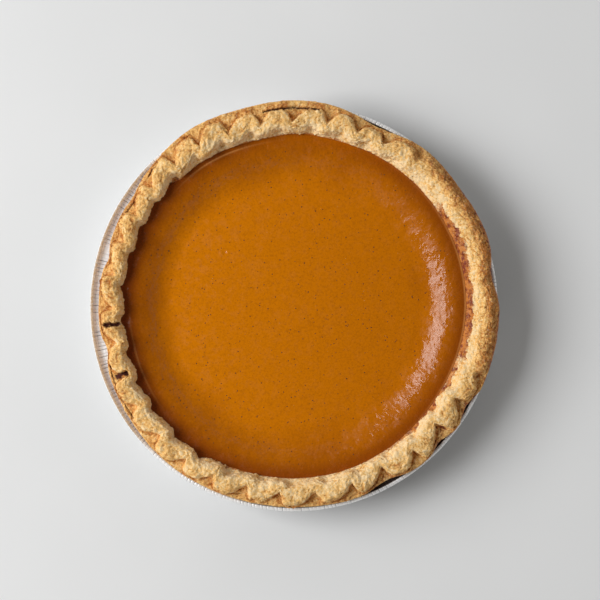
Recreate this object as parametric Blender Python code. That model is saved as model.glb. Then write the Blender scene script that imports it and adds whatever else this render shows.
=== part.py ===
"""A custard pie in its foil tin: a pleated tin with a rolled bead, a pastry case with a crimped rim, and the
custard filling. Metres, +Z up. The origin is the middle of the tin's flat base, +X is the pie's flattened side."""

from math import cos, exp, pi, radians, sin

import bpy
from mathutils import Vector, noise

MM = 0.001

# Tin
TIN_RADIUS = 115.0 * MM
BEAD_RADIUS = 1.5 * MM
FLANGE_HEIGHT = 29.2 * MM
MOUTH_RADIUS = 103.5 * MM
BASE_RADIUS = 88.0 * MM
BASE_CORNER = 0.8 * MM
FOIL = 0.3 * MM
PLEATS = 70
PLEAT_DEPTH = 0.3 * MM
BEAD_LIFT = -0.1 * MM
BEAD_POINTS = 5
BEAD_START = -115.0
BEAD_TURN = 232.0

# Pastry case. The rim is not concentric with the tin: each edge has its own shift towards +X and +Y.
RIM_OUTER_RADIUS = 113.3 * MM
RIM_OUTER_SHIFT = (2.4 * MM, 1.3 * MM)
RIM_INNER_RADIUS = 95.7 * MM
RIM_INNER_SHIFT = (1.3 * MM, 0.4 * MM)
LIP_UNDERSIDE = 30.3 * MM
LIP_OVER_BEAD = 31.1 * MM
LIP_BEVEL = 0.7 * MM
LIP_FACE = 1.9 * MM
CASE_GAP = 0.9 * MM
CASE_BOTTOM = 0.7 * MM
CASE_SHOULDER = 28.6 * MM
CASE_FLOOR = 3.8 * MM
WELL_FLOOR_RADIUS = 83.0 * MM
WELL_BEND = (0.6 * MM, 28.0 * MM)
FILL_CONTACT = 31.0 * MM

# Crimps, counted round the rim from one outer pocket to the next
CRIMPS = 35
CRIMP_COLUMNS = 6
FIRST_POCKET = 48.9
UNEVEN_SPACING = 0.25
UNEVEN_WAVES = (8, 13)
UNEVEN_HEIGHT = 0.10
CRIMP_SKEW = 0.29
CRIMP_SLANT = 0.8
SLANT_PIVOT = 0.45
WIDE_LIP = (94.0, 28.0, 0.17)
FLAT_SIDE = (14.0, 34.0)

# Stretches of the rim where the crimps have drifted along it, zigzag evenly, and are shallow on the inside: angle
# and half width in degrees, then degrees, a share of a crimp and mm
CRIMP_DRIFTS = ((52.0, 20.0, 1.6), (165.0, 38.0, -2.9), (316.0, 42.0, 4.1))
EVEN_CRIMPS = ((66.0, 24.0, 0.22),)
SHALLOW_DIMPLES = ((286.0, 36.0, 2.6), (45.0, 22.0, 2.2), (105.0, 28.0, 0.8))
CRAG_HEIGHT = 0.35 * MM
CRAG_SIZE = 5.0 * MM

# Places where the rim's edge, and the well's, are pressed in or pulled out: angle and half width in degrees, depth
# in mm
EDGE_DENTS = (
    (64.5, 9.0, 3.8),
    (91.0, 14.0, -1.8),
    (120.0, 14.0, -2.9),
    (145.5, 3.0, 1.2),
    (157.0, 14.0, 0.5),
    (163.0, 36.0, 1.3),
    (165.0, 3.0, 2.0),
    (193.0, 4.0, 2.6),
    (233.0, 25.0, -1.8),
    (298.0, 5.5, 3.0),
    (317.5, 3.5, 2.9),
    (330.0, 4.5, 3.0),
    (9.0, 5.5, 3.4),
    (36.0, 9.0, 1.1),
)
WELL_WAVES = ((88.0, 7.0, -1.2), (122.0, 14.0, -0.8), (235.0, 28.0, -1.3), (324.0, 27.0, 2.2))

# The crimped ridge zigzags between the lip and the well, with a narrow notch where it turns away from either. Across
# the rim, 0 is its outer edge and 1 the crimps' inner ends. Each foot has its outermost and innermost place. The
# ridge's profile runs from its foot to its crest: distance from the crest and rise, each as a share
OUTER_FOOT = (0.08, 0.49)
INNER_FOOT = (0.81, 0.965)
OUTER_SHARPNESS = 3.0
INNER_SHARPNESS = 2.2
FOOT_UNEVEN = 0.04
CREST_HEIGHT = 40.3 * MM
RIDGE_PROFILE = ((1.0, 0.0), (0.88, 0.50), (0.58, 0.90), (0.0, 1.0))
LIP_PLACE = 0.03
LIP_TOP = 33.4 * MM
POCKET_FLOOR = 34.2 * MM
DIMPLE_FLOOR = 33.0 * MM
CONTACT_PLACE = 0.975

# Where the crimps have slumped, the rim is a plain roll, from the lip's edge to the well: share of the rim's width,
# and height in mm
ROLLED_SECTION = (
    (0.03, 34.2), (0.06, 35.4), (0.10, 36.6), (0.17, 38.0), (0.25, 38.8), (0.34, 39.1),
    (0.46, 38.8), (0.60, 37.8), (0.74, 36.4), (0.88, 34.4), (0.985, 31.0),
)

# Tears in the rim: angle in degrees, inner and outer radius, width and floor height in mm
CROSS_TEARS = ((185.4, 96.6, 108.6, 1.9, 34.4), (201.4, 97.0, 108.4, 3.0, 34.0))
LIP_TEAR = (82.5, 99.0, 0.8, 33.3)
LIP_TEAR_PLACE = 0.235
LIP_TEAR_STEPS = 8

# Filling
FILL_GAP = 0.35 * MM
FILL_COLUMNS = 3
FILL_EDGE = 31.2 * MM
FILL_CENTRE = 26.0 * MM
FILL_SLOPE = (0.76, 0.96)
FILL_SLOPE_EASE = 0.35
FILL_RINGS = (0.96, 0.94, 0.915, 0.80, 0.78, 0.76)

ALUMINIUM = ((0.80, 0.80, 0.81), 0.30, 1.0)
BAKED_PASTRY = ((0.62, 0.38, 0.17), 0.85, 0.0)
PUMPKIN_CUSTARD = ((0.48, 0.135, 0.004), 0.35, 0.0)


def smoothstep(value):
    """Value clipped to 0..1, with eased ends."""
    t = min(1.0, max(0.0, value))
    return t * t * (3 - 2 * t)


def mix(a, b, share):
    return a + (b - a) * share


def turn_between(angle, centre):
    """The turn from centre to angle in degrees, between -180 and 180."""
    return (angle - centre + 180.0) % 360.0 - 180.0


def bump(angle, centre, half_width):
    """A bell curve round the rim, 1 at centre."""
    return exp(-((turn_between(angle, centre) / half_width) ** 2))


def finish(colour, roughness, metallic, name):
    material = bpy.data.materials.new(name)
    material.use_nodes = True
    shader = material.node_tree.nodes["Principled BSDF"]
    shader.inputs["Base Color"].default_value = (*colour, 1.0)
    shader.inputs["Roughness"].default_value = roughness
    shader.inputs["Metallic"].default_value = metallic
    return material


def lofted(name, rings, collection, material):
    """A closed solid through rings of points. The rings run from the pole below, out, up and in to the pole above,
    and the first and last are single points."""
    columns = len(rings[1])
    points = [rings[0][0]]
    for ring in rings[1:-1]:
        points.extend(ring)
    points.append(rings[-1][0])
    faces = []
    for column in range(columns):
        following = (column + 1) % columns
        faces.append((0, 1 + following, 1 + column))
        for band in range(len(rings) - 3):
            low = 1 + band * columns
            high = low + columns
            faces.append((low + column, low + following, high + following, high + column))
        last = 1 + (len(rings) - 3) * columns
        faces.append((last + column, last + following, len(points) - 1))
    mesh = bpy.data.meshes.new(name)
    mesh.from_pydata(points, [], faces)
    mesh.materials.append(material)
    mesh.shade_smooth()
    mesh.set_sharp_from_angle(angle=radians(50))
    part = bpy.data.objects.new(name, mesh)
    collection.objects.link(part)
    return part


def at(angle, radius, height):
    return (radius * cos(radians(angle)), radius * sin(radians(angle)), height)


def tin_section():
    """The tin's closed section from the underside's middle to the inside's middle, as radius, height and how far a
    pleat pushes the point across the wall, in radius and height."""
    bead_centre = (TIN_RADIUS - BEAD_RADIUS, FLANGE_HEIGHT + BEAD_LIFT)
    across = (PLEAT_DEPTH, -PLEAT_DEPTH / 2)
    diagonal = (PLEAT_DEPTH / 2, -PLEAT_DEPTH / 2)
    upward = (0.0, -PLEAT_DEPTH)
    level = (0.0, 0.0)
    section = [
        (0.0, 0.0, level),
        (BASE_RADIUS - BASE_CORNER, 0.0, level),
        (BASE_RADIUS + FOIL, BASE_CORNER, across),
        (MOUTH_RADIUS + FOIL, FLANGE_HEIGHT, diagonal),
        (bead_centre[0] - 0.9 * BEAD_RADIUS, FLANGE_HEIGHT, upward),
    ]
    for step in range(BEAD_POINTS):
        turn = radians(BEAD_START + step * BEAD_TURN / (BEAD_POINTS - 1))
        section.append((bead_centre[0] + BEAD_RADIUS * cos(turn), bead_centre[1] + BEAD_RADIUS * sin(turn), level))
    section += [
        (bead_centre[0] - 0.95 * BEAD_RADIUS, FLANGE_HEIGHT + FOIL, upward),
        (MOUTH_RADIUS, FLANGE_HEIGHT + FOIL, diagonal),
        (BASE_RADIUS, BASE_CORNER + FOIL, across),
        (BASE_RADIUS - BASE_CORNER, FOIL, level),
        (0.0, FOIL, level),
    ]
    return section


def make_tin(collection):
    """The tin's wall and flange are folded: its columns stand in turn on a pleat's ridge and in its furrow."""
    columns = 2 * PLEATS
    rings = []
    for radius, height, (push_out, push_up) in tin_section():
        ring = []
        for column in range(columns):
            fold = 1 if column % 2 else -1
            ring.append(at(360 * column / columns, radius + fold * push_out, height + fold * push_up))
        rings.append(ring)
    return lofted("foil_tin", rings, collection, finish(*ALUMINIUM, "foil"))


def along_rim(stretches, angle):
    """The sum of the bell curves of these stretches of the rim, each given by angle, half width and height."""
    return sum(height * bump(angle, centre, half_width) for centre, half_width, height in stretches)


def pocket_angle(phase):
    """Where round the rim the crimp count reaches phase, as an angle at the slant's pivot."""
    even = FIRST_POCKET + phase * 360.0 / CRIMPS
    uneven = sum(sin(radians(waves * even)) for waves in UNEVEN_WAVES)
    return even + along_rim(CRIMP_DRIFTS, even) + UNEVEN_SPACING * uneven


def outer_edge(angle):
    """The radius of the rim's outer edge about the tin's axis."""
    shift = RIM_OUTER_SHIFT[0] * cos(radians(angle)) + RIM_OUTER_SHIFT[1] * sin(radians(angle))
    return RIM_OUTER_RADIUS + shift - along_rim(EDGE_DENTS, angle) * MM


def inner_edge(angle):
    """The radius of the crimps' inner ends about the tin's axis."""
    shift = RIM_INNER_SHIFT[0] * cos(radians(angle)) + RIM_INNER_SHIFT[1] * sin(radians(angle))
    return RIM_INNER_RADIUS + shift - along_rim(WELL_WAVES, angle) * MM


def rim_radius(angle, across):
    return mix(outer_edge(angle), inner_edge(angle), across)


def lip_underside(angle):
    """The lip lies on the flange, or on the bead where it reaches that far."""
    over_bead = smoothstep((outer_edge(angle) - 110.9 * MM) / (2.0 * MM))
    return mix(LIP_UNDERSIDE, LIP_OVER_BEAD, over_bead)


def rolled_share(angle):
    """How far the crimps have slumped into a plain roll, from 0 to 0.9."""
    centre, half_width = FLAT_SIDE
    return 0.9 * smoothstep(1.9 - abs(turn_between(angle, centre)) / half_width * 1.35)


def ridge_feet(phase):
    """Where across the rim the ridge has its outer and its inner foot. It follows an uneven zigzag with rounded
    corners, whose way out takes less of a crimp than its way in."""
    share = phase % 1.0
    skew = CRIMP_SKEW + along_rim(EVEN_CRIMPS, pocket_angle(phase))
    turn = share / skew if share < skew else 1 + (share - skew) / (1 - skew)
    triangle = abs(1 - turn)
    inward = mix(0.5 + 0.5 * cos(pi * turn), triangle, 0.4)
    round_rim = 2 * pi * phase / CRIMPS
    drift = FOOT_UNEVEN * (sin(11 * round_rim) + sin(19 * round_rim + 1.0)) / 2
    outer = mix(*OUTER_FOOT, inward**OUTER_SHARPNESS) + drift
    inner = mix(*INNER_FOOT, 1 - (1 - inward) ** INNER_SHARPNESS) + drift
    return outer, min(inner, INNER_FOOT[1])


def crimp_section(phase, angle):
    """The crimped rim's section from the lip to the well, as shares of the rim's width and heights. The crest is
    its middle point."""
    outer, inner = ridge_feet(phase)
    crest = (outer + inner) / 2
    dimple = DIMPLE_FLOOR + along_rim(SHALLOW_DIMPLES, angle) * MM
    section = [(LIP_PLACE, LIP_TOP), (mix(LIP_PLACE, outer, 0.5), POCKET_FLOOR)]
    section += [(mix(crest, outer, away), mix(POCKET_FLOOR, CREST_HEIGHT, rise)) for away, rise in RIDGE_PROFILE]
    section += [(mix(crest, inner, away), mix(dimple, CREST_HEIGHT, rise)) for away, rise in RIDGE_PROFILE[-2::-1]]
    section.append((mix(inner, CONTACT_PLACE, 0.6), mix(dimple, FILL_CONTACT, 0.4)))
    section.append((CONTACT_PLACE, FILL_CONTACT))
    return section


def crag(point):
    """Uneven baked relief, in metres."""
    return CRAG_HEIGHT * noise.noise(Vector(point) / CRAG_SIZE)


def rim_column(phase):
    """One column of points across the rim's top: its crimped and its rolled section mixed for this place."""
    angle = pocket_angle(phase)
    centre, half_width, widening = WIDE_LIP
    widening *= bump(angle, centre, half_width)
    tallness = 1.0 + UNEVEN_HEIGHT * sin(radians(13 * angle)) * sin(radians(4 * angle))
    column = []
    for station, (crimp, roll) in enumerate(zip(crimp_section(phase, angle), ROLLED_SECTION)):
        across = mix(crimp[0], roll[0], rolled_share(angle))
        raised = mix(crimp[1], roll[1] * MM, rolled_share(angle))
        height = FILL_CONTACT + (raised - FILL_CONTACT) * tallness
        across = mix(across, 1.0, widening) if station > 1 else across
        lift = (lip_underside(angle) - LIP_UNDERSIDE) * 0.8 * (1 - across) ** 2
        twisted = angle + CRIMP_SLANT * (across - SLANT_PIVOT)
        point = Vector(at(twisted, rim_radius(twisted, across), height + lift))
        if 0 < station < len(ROLLED_SECTION) - 2:
            point.z += crag(point)
        column.append(point)
    return column


def well_radius(angle):
    """The well's radius where the custard meets the pastry."""
    return rim_radius(angle, mix(CONTACT_PLACE, ROLLED_SECTION[-1][0], rolled_share(angle)))


def make_case(collection):
    """The pastry case as one loft: under the floor, up the tin's wall, out under the lip, over the crimps, and down
    the well to its floor."""
    phases = [column / CRIMP_COLUMNS for column in range(CRIMPS * CRIMP_COLUMNS)]
    angles = [pocket_angle(phase) for phase in phases]
    bend_inset, bend_height = WELL_BEND
    rings = [
        [(0.0, 0.0, CASE_BOTTOM)],
        [at(a, BASE_RADIUS - CASE_GAP, CASE_BOTTOM) for a in angles],
        [at(a, MOUTH_RADIUS - CASE_GAP, CASE_SHOULDER) for a in angles],
        [at(a, MOUTH_RADIUS - 0.1 * MM, LIP_UNDERSIDE) for a in angles],
        [at(a, rim_radius(a, 0.12), lip_underside(a)) for a in angles],
        [at(a, rim_radius(a, 0.03), lip_underside(a) + LIP_BEVEL) for a in angles],
        [at(a, rim_radius(a, 0.0), lip_underside(a) + LIP_FACE) for a in angles],
    ]
    rings += [list(ring) for ring in zip(*(rim_column(phase) for phase in phases))]
    rings += [
        [at(a, well_radius(a) - bend_inset, bend_height) for a in angles],
        [at(a, WELL_FLOOR_RADIUS, CASE_FLOOR) for a in angles],
        [(0.0, 0.0, CASE_FLOOR)],
    ]
    return lofted("pastry_case", rings, collection, finish(*BAKED_PASTRY, "pastry"))


def tear_prism(name, outline, floor, collection):
    """A cutter with the given plan outline, open above the rim."""
    curve = bpy.data.curves.new(name, "CURVE")
    curve.dimensions = "2D"
    curve.fill_mode = "BOTH"
    height = 50.0 * MM - floor
    curve.extrude = height / 2
    spline = curve.splines.new("POLY")
    spline.points.add(len(outline) - 1)
    for point, (x, y) in zip(spline.points, outline):
        point.co = (x, y, 0.0, 1.0)
    spline.use_cyclic_u = True
    drawn = bpy.data.objects.new(name + "_outline", curve)
    collection.objects.link(drawn)
    drawn.location.z = floor + height / 2
    bpy.context.view_layer.update()
    mesh = bpy.data.meshes.new_from_object(drawn.evaluated_get(bpy.context.evaluated_depsgraph_get()))
    cutter = bpy.data.objects.new(name, mesh)
    cutter.matrix_world = drawn.matrix_world
    collection.objects.link(cutter)
    bpy.data.objects.remove(drawn)
    weld = cutter.modifiers.new("weld", "WELD")
    weld.merge_threshold = 0.00001
    cutter.hide_render = True
    cutter.display_type = "WIRE"
    return cutter


def lens_outline(angle, inner, outer, width):
    """A tear across the rim, widest in its middle third."""
    half = {0.0: 0.15, 0.25: 0.8, 0.6: 1.0, 0.85: 0.8, 1.0: 0.15}
    along = Vector((cos(radians(angle)), sin(radians(angle))))
    side = Vector((-along.y, along.x))
    left = [along * mix(inner, outer, t) + side * width / 2 * share for t, share in half.items()]
    right = [along * mix(inner, outer, t) - side * width / 2 * share for t, share in half.items()]
    return [tuple(p * MM) for p in right + left[::-1]]


def lip_tear_outline():
    """A thin tear along the rim, between the lip and the crimps."""
    start, end, width, _ = LIP_TEAR
    outer, inner = [], []
    for step in range(LIP_TEAR_STEPS + 1):
        share = step / LIP_TEAR_STEPS
        angle = mix(start, end, share)
        half = width * MM / 2 * (0.2 + 0.8 * sin(pi * share))
        middle = rim_radius(angle, LIP_TEAR_PLACE) + 0.3 * MM * sin(9 * share)
        outer.append(at(angle, middle + half, 0)[:2])
        inner.append(at(angle, middle - half, 0)[:2])
    return outer + inner[::-1]


def tear_rim(case, cutters):
    """Cuts the open tears into the rim."""
    outlines = [
        (f"cross_tear_{number}", lens_outline(angle, inner, outer, width), floor * MM)
        for number, (angle, inner, outer, width, floor) in enumerate(CROSS_TEARS, 1)
    ]
    outlines.append(("lip_tear", lip_tear_outline(), LIP_TEAR[3] * MM))
    for name, outline, floor in outlines:
        cut = case.modifiers.new(name, "BOOLEAN")
        cut.operation = "DIFFERENCE"
        cut.solver = "EXACT"
        cut.object = tear_prism(name, outline, floor, cutters)


def fill_height(share):
    """The custard has sunk in the middle, and rises in an even slope with eased ends to a level ring."""
    start, end = FILL_SLOPE
    way = min(1.0, max(0.0, (share - start) / (end - start)))
    near_end = min(way, 1 - way)
    eased = near_end - FILL_SLOPE_EASE / 2
    if near_end < FILL_SLOPE_EASE:
        eased = near_end**2 / (2 * FILL_SLOPE_EASE)
    rise = eased / (1 - FILL_SLOPE_EASE)
    return mix(FILL_CENTRE, FILL_EDGE, rise if way < 0.5 else 1 - rise)


def make_filling(collection):
    """The custard fills the well from its floor to a sunken top."""
    angles = [pocket_angle(column / FILL_COLUMNS) for column in range(CRIMPS * FILL_COLUMNS)]
    reach = [well_radius(a) - FILL_GAP for a in angles]
    bottom = CASE_FLOOR + FILL_GAP
    bend_inset, bend_height = WELL_BEND
    rings = [
        [(0.0, 0.0, bottom)],
        [at(a, WELL_FLOOR_RADIUS - 2 * FILL_GAP, bottom) for a in angles],
        [at(a, r - bend_inset - 0.1 * MM, bend_height) for a, r in zip(angles, reach)],
        [at(a, r, FILL_EDGE - 0.2 * MM) for a, r in zip(angles, reach)],
    ]
    for share in FILL_RINGS:
        rings.append([at(a, r * share, fill_height(share)) for a, r in zip(angles, reach)])
    rings.append([(0.0, 0.0, FILL_CENTRE)])
    return lofted("pumpkin_filling", rings, collection, finish(*PUMPKIN_CUSTARD, "custard"))


def new_collection(name):
    collection = bpy.data.collections.new(name)
    bpy.context.scene.collection.children.link(collection)
    return collection


def main():
    for leftover in list(bpy.data.objects):
        bpy.data.objects.remove(leftover)
    pie = new_collection("pumpkin_pie")
    cutters = new_collection("cutters")
    make_tin(pie)
    case = make_case(pie)
    tear_rim(case, cutters)
    make_filling(pie)


main()
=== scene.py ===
"""Dresses a pumpkin pie: its pleated foil tin, its crimped pastry case and its set custard filling.

Lengths are in metres and angles in degrees, in the part's own frame, except where a docstring says mm. The
origin is the middle of the tin's flat base, +Z is up, and +X is the side where the crimps have slumped.
Angles round the pie run from +X towards +Y. A side is given by its middle, its half width and its ease, all
in degrees. A field whose name ends in ramp holds what rises() or falls() takes: where it starts or ends, and
its ease.
"""

import functools
import itertools
import logging
import math
from dataclasses import dataclass
from enum import Enum

import bpy
import numpy as np
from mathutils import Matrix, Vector


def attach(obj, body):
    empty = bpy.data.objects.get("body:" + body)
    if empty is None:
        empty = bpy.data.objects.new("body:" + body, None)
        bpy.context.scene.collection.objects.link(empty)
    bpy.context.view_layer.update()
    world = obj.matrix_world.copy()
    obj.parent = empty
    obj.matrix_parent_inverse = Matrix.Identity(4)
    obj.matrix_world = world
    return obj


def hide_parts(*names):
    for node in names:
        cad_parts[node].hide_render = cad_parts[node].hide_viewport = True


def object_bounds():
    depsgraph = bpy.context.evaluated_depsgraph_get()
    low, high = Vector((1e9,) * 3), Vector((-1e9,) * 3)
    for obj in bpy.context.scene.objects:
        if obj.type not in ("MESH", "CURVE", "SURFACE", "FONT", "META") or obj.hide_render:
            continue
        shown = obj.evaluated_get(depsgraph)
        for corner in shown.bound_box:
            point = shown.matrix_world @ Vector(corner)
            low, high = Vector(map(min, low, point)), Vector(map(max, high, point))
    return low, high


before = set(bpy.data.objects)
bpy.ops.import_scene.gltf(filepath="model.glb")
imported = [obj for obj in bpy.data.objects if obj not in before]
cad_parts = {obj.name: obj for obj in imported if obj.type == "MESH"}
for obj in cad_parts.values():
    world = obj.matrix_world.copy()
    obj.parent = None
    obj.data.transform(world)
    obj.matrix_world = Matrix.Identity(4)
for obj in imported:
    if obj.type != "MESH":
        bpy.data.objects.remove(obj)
CAD_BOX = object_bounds()

MM = 0.001
BODY = "root"
Array = np.ndarray
Piece = bpy.types.Object
Socket = bpy.types.NodeSocket
Colour = tuple[float, float, float]
Span = tuple[float, float]
Stretches = tuple[tuple[float, float, float], ...]
Spread = tuple[float, float, Span]
Side = tuple[float, float, float]
log = logging.getLogger("pumpkin_pie")


def smoothstep(value: Array) -> Array:
    """Return value clipped to 0..1, with eased ends."""
    t = np.clip(value, 0.0, 1.0)
    return t * t * (3 - 2 * t)


def rises(value: Array, start: float, ease: float) -> Array:
    """Return 0 up to start and 1 from ease past it."""
    return smoothstep((value - start) / ease)


def falls(value: Array, end: float, ease: float) -> Array:
    """Return 1 up to ease short of end, and 0 from end on."""
    return smoothstep((end - value) / ease)


def between(value: Array, start: float, end: float, ease: float) -> Array:
    """Return 1 between start and end, eased to 0 at both, and 0 outside them."""
    return rises(value, start, ease) * falls(value, end, ease)


def mix(a: Array, b: Array, share: Array) -> Array:
    """Return a at share 0, b at share 1, and a straight mix between."""
    return a + (b - a) * share


def turn_between(angle: Array, centre: float) -> Array:
    """Return the turn from centre to angle, between -180 and 180."""
    return (angle - centre + 180.0) % 360.0 - 180.0


def bump(angle: Array, centre: float, half_width: float) -> Array:
    """Return a bell curve round the rim, 1 at centre."""
    return np.exp(-((turn_between(angle, centre) / half_width) ** 2))


def along_rim(stretches: Stretches, angle: Array) -> Array:
    """Return the sum of bell curves round the rim, each given by its angle, half width and height."""
    return sum(height * bump(angle, centre, half_width) for centre, half_width, height in stretches)


def one_side(angle: Array, centre: float, half_width: float, ease: float) -> Array:
    """Return 1 round centre, eased to 0 at half_width from it."""
    return falls(np.abs(turn_between(angle, centre)), half_width, ease)


def thin_line(value: Array, place: float, half_width: float) -> Array:
    """Return a bell curve across value, 1 at place."""
    return np.exp(-(((value - place) / half_width) ** 2))


def at(angle: Array, radius: Array, height: Array) -> Array:
    """Return the points at these angles, radii and heights, with X, Y, Z on the last axis."""
    turn = np.radians(angle)
    return np.stack(np.broadcast_arrays(radius * np.cos(turn), radius * np.sin(turn), height), axis=-1)


class GradientNoise:
    """Seeded gradient noise through space, for relief and for patches of colour."""

    TABLE = 256
    PUFF_MEAN = 0.45

    def __init__(self, seed: int) -> None:
        """Draw the noise's directions.

        Args:
            seed: fixes the draw, so that every run gives the same pie.
        """
        random = np.random.default_rng(seed)
        self.order = random.permutation(self.TABLE)
        directions = random.normal(size=(self.TABLE, 3))
        self.directions = directions / np.linalg.norm(directions, axis=1)[:, None]

    def at(self, points: Array, size: float) -> Array:
        """Sample one octave.

        Args:
            points: places, with X, Y, Z on the last axis.
            size: the noise's grain.

        Returns:
            Values from about -0.7 to 0.7, one for each point.
        """
        flat = points.reshape(-1, 3) / size
        cell = np.floor(flat).astype(int)
        local = flat - cell
        fade = local**3 * (local * (local * 6 - 15) + 10)
        total = np.zeros(len(flat))
        for corner in itertools.product((0, 1), repeat=3):
            index = (cell + corner) % self.TABLE
            picked = self.order[(self.order[index[:, 0]] + index[:, 1]) % self.TABLE]
            picked = self.order[(picked + index[:, 2]) % self.TABLE]
            weight = np.prod(np.where(corner, fade, 1 - fade), axis=1)
            total += weight * np.einsum("ij,ij->i", self.directions[picked], local - corner)
        return total.reshape(points.shape[:-1])

    def fractal(self, points: Array, size: float) -> Array:
        """Return two octaves of noise, the second half as coarse and half as high as the first."""
        return self.at(points, size) + self.at(points, size / 2) / 2

    def puffs(self, points: Array, size: float) -> Array:
        """Make rounded puffs with sharp creases between them.

        Args:
            points: places, with X, Y, Z on the last axis.
            size: the grain of the larger puffs; smaller ones of half that grain lie on them.

        Returns:
            Values from -0.45 in the creases to about 0.55 on the puffs, one for each point.
        """
        heights = np.abs(self.at(points, size)) * 2 + np.abs(self.at(points, size / 2))
        return heights / 1.5 - self.PUFF_MEAN


def smooth_line(points: Array, steps: int) -> Array:
    """Draw a smooth line through points, by the Catmull-Rom rule.

    Args:
        points: the points, one a row, each of which may hold the points of many lines side by side.
        steps: how many pieces each stretch between two points is cut into.

    Returns:
        The line's points, one a row, with every given point among them.
    """
    padded = np.concatenate([[2 * points[0] - points[1]], points, [2 * points[-1] - points[-2]]])
    line = []
    for a, b, c, d in zip(padded, padded[1:], padded[2:], padded[3:]):
        for step in range(steps):
            t = step / steps
            bend = 2 * a - 5 * b + 4 * c - d + t * (3 * (b - c) + d - a)
            line.append(b + 0.5 * t * (c - a + t * bend))
    line.append(points[-1])
    return np.array(line)


def grid_mesh(name: str, rings: Array, bottom: float, top: float) -> bpy.types.Mesh:
    """Close rings of points into one solid skin.

    Args:
        name: the mesh's name.
        rings: an array of rings, columns and X, Y, Z. The rings run from the middle below, out, up and in.
        bottom: the height of the pole below, on the axis.
        top: the height of the pole above, on the axis.

    Returns:
        A closed mesh with its faces pointing out. Its vertices are the rings' points in order, then the
        two poles.
    """
    count, columns = rings.shape[:2]
    points = np.vstack([rings.reshape(-1, 3), [[0, 0, bottom], [0, 0, top]]])
    here = np.arange(columns)
    following = (here + 1) % columns
    low = (np.arange(count - 1) * columns)[:, None]
    high = low + columns
    quads = np.stack([low + here, low + following, high + following, high + here], axis=-1).reshape(-1, 4)
    pole_below, pole_above = count * columns, count * columns + 1
    last = (count - 1) * columns
    fan_below = [(pole_below, int(b), int(a)) for a, b in zip(here, following)]
    fan_above = [(int(last + a), int(last + b), pole_above) for a, b in zip(here, following)]
    mesh = bpy.data.meshes.new(name)
    mesh.from_pydata(points.tolist(), [], quads.tolist() + fan_below + fan_above)
    mesh.shade_smooth()
    return mesh


def store(mesh: bpy.types.Mesh, name: str, values: Array) -> None:
    """Keep a number on each vertex, for the materials.

    Args:
        mesh: the mesh that takes the numbers.
        name: the attribute's name.
        values: one number for each ring point, from the first ring on; the points left over get 0.
    """
    padded = np.zeros(len(mesh.vertices), np.float32)
    padded[: values.size] = values.ravel()
    mesh.attributes.new(name, "FLOAT", "POINT").data.foreach_set("value", padded)


def outward_normals(rings: Array) -> Array:
    """Find which way each point of a solid's skin faces.

    Args:
        rings: the skin's points, as rings by columns.

    Returns:
        Unit vectors that point out of the solid, one for each point.
    """
    along = np.roll(rings, -1, axis=1) - np.roll(rings, 1, axis=1)
    normal = np.cross(along, np.gradient(rings, axis=0))
    return normal / np.maximum(np.linalg.norm(normal, axis=-1, keepdims=True), 1e-12)


def show(name: str, data: bpy.types.ID) -> Piece:
    """Put something in the scene as an object of its own.

    Args:
        name: the object's name.
        data: a mesh, a light or a camera.

    Returns:
        The object, at the origin.
    """
    piece = bpy.data.objects.new(name, data)
    bpy.context.scene.collection.objects.link(piece)
    return piece


def hand_over(piece: Piece, slot: str, *nodes: str) -> None:
    """Tie a finished piece to the part.

    Args:
        piece: the finished piece.
        slot: not used.
        nodes: the CAD nodes that it stands for.
    """
    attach(piece, BODY)
    if nodes:
        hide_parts(*nodes)
    faces = sum(len(polygon.vertices) - 2 for polygon in piece.data.polygons)
    log.info("%s: %d triangles, stands for %s", piece.name, faces, ", ".join(nodes) or "nothing")


@dataclass(frozen=True)
class Grain:
    """Noise through a piece: the size of its grain, its detail and its roughness."""

    size: float
    detail: float = 2.0
    rough: float = 0.5


@dataclass(frozen=True)
class Patches(Grain):
    """Noise whose values from low to high are spread over a span."""

    low: float = 0.3
    high: float = 0.7
    span: Span = (0.0, 1.0)


@dataclass(frozen=True)
class Bumps(Grain):
    """Noise that stands for bumps too fine for the mesh, with their depth."""

    depth: float = 0.1 * MM


class NodeBench:
    """Short calls that lay nodes into a tree. A value is a socket to link or a constant."""

    def __init__(self, tree: bpy.types.NodeTree) -> None:
        """Take the tree that the nodes go into."""
        self.tree = tree

    def plug(self, socket: Socket, value: object) -> None:
        """Link a value into a socket, or set the socket to it.

        Args:
            socket: the input socket.
            value: the socket to link, or the constant.
        """
        if isinstance(value, Socket):
            self.tree.links.new(value, socket)
        else:
            socket.default_value = value

    def add(self, kind: str, inputs: dict | None = None, **settings: object) -> bpy.types.Node:
        """Add a node.

        Args:
            kind: Blender's name for the kind of node.
            inputs: the values that go into its sockets, by name or number.
            settings: the node's own settings.

        Returns:
            The node.
        """
        node = self.tree.nodes.new(kind)
        for key, value in settings.items():
            setattr(node, key, value)
        for key, value in (inputs or {}).items():
            self.plug(node.inputs[key], value)
        return node

    def math(self, operation: str, *values: object) -> Socket:
        """Return the result of a Math node."""
        return self.add("ShaderNodeMath", dict(enumerate(values)), operation=operation).outputs[0]

    def plus(self, *values: object) -> Socket:
        """Return the sum of the values."""
        return functools.reduce(functools.partial(self.math, "ADD"), values)

    def times(self, *values: object) -> Socket:
        """Return the product of the values."""
        return functools.reduce(functools.partial(self.math, "MULTIPLY"), values)

    def spread(self, value: object, low: float, high: float, to: Span = (0.0, 1.0)) -> Socket:
        """Return value moved from low..high to the span in to, and kept inside it."""
        sockets = {"Value": value, "From Min": low, "From Max": high, "To Min": to[0], "To Max": to[1]}
        return self.add("ShaderNodeMapRange", sockets).outputs[0]


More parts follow.
